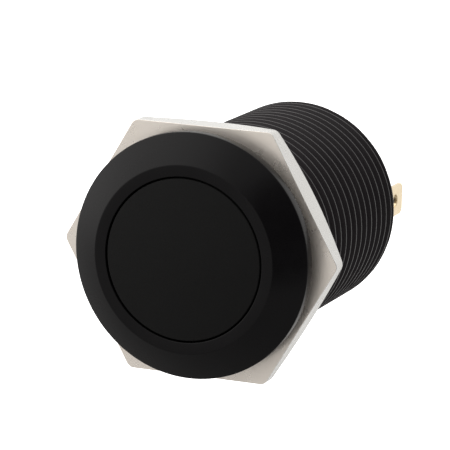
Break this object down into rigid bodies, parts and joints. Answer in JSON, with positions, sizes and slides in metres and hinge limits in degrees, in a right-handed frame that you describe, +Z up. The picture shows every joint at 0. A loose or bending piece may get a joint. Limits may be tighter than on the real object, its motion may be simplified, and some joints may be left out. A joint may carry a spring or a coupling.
{
  "type": "push button switch",
  "caption": "Round flat-faced momentary push button with a black flanged bezel, a threaded barrel, a hex fixing nut and solder lugs at the rear.",
  "frame": {"origin": "on the barrel's axis, in the plane where the gasket meets the front of the panel", "axes": "+Y runs along the barrel from the panel's front towards the lugs, the button faces -Y, +Z is up and two of the nut's flats are level"},
  "size_m": [0.0294, 0.0417, 0.0256],
  "materials": {
    "anodised_black": "black anodised, satin, turned",
    "cap_black": "black anodised, fine bead-blasted matte",
    "nickel": "nickel-plated brass, turned and lightly brushed",
    "black_oxide": "black oxide on spring steel",
    "rubber": "moulded nitrile rubber",
    "white_nylon": "natural nylon",
    "black_plastic": "glass-filled moulding",
    "spring_steel": "drawn stainless steel",
    "copper": "rolled phosphor bronze",
    "silver": "silver alloy",
    "gold_brass": "thin gold plating on stamped brass",
    "black_epoxy": "cast resin, glossy"
  },
  "bodies": {
    "root": {"bezel_housing": "anodised_black", "panel_gasket": "rubber", "guide_sleeve": "white_nylon", "guide_pin": "spring_steel", "stop_ring": "rubber", "retaining_ring": "spring_steel", "contact_cup": "black_plastic", "return_spring": "spring_steel", "terminal_left": "gold_brass", "terminal_right": "gold_brass", "fixed_contacts": "silver", "terminal_base": "black_plastic", "base_gasket": "rubber", "potting_seal": "black_epoxy"},
    "button": {"button_cap": "cap_black", "button_seal": "rubber", "plunger": "white_nylon", "spring_clip": "spring_steel", "bridge_clip": "spring_steel", "contact_spring": "spring_steel"},
    "bridge": {"contact_bridge": "copper", "bridge_contacts": "silver"},
    "washer": {"lock_washer": "black_oxide"},
    "nut": {"hex_nut": "nickel"}
  },
  "joints": [
    {"name": "button_slide", "type": "slide", "parent": "root", "child": "button", "axis": [0, 1, 0], "range_m": [0, 0.0022], "stiffness_N_per_m": 600, "springref_m": -0.004, "deforming": ["return_spring"]},
    {"name": "bridge_slide", "type": "slide", "parent": "button", "child": "bridge", "axis": [0, -1, 0], "range_m": [0, 0.00081], "deforming": ["contact_spring"]},
    {"name": "washer_slide", "type": "slide", "parent": "root", "child": "washer", "axis": [0, 1, 0], "range_m": [0, 0.02102]},
    {"name": "nut_turn", "type": "hinge", "parent": "washer", "child": "nut", "pos_m": [0, 0, 0], "axis": [0, 1, 0], "range_deg": [0, 5040]}
  ],
  "couplings": [
    {"joint": "bridge_slide", "follows": "button_slide", "ratio": 0.36364},
    {"joint": "washer_slide", "follows": "nut_turn", "m_per_rad": 0.00023873}
  ]
}
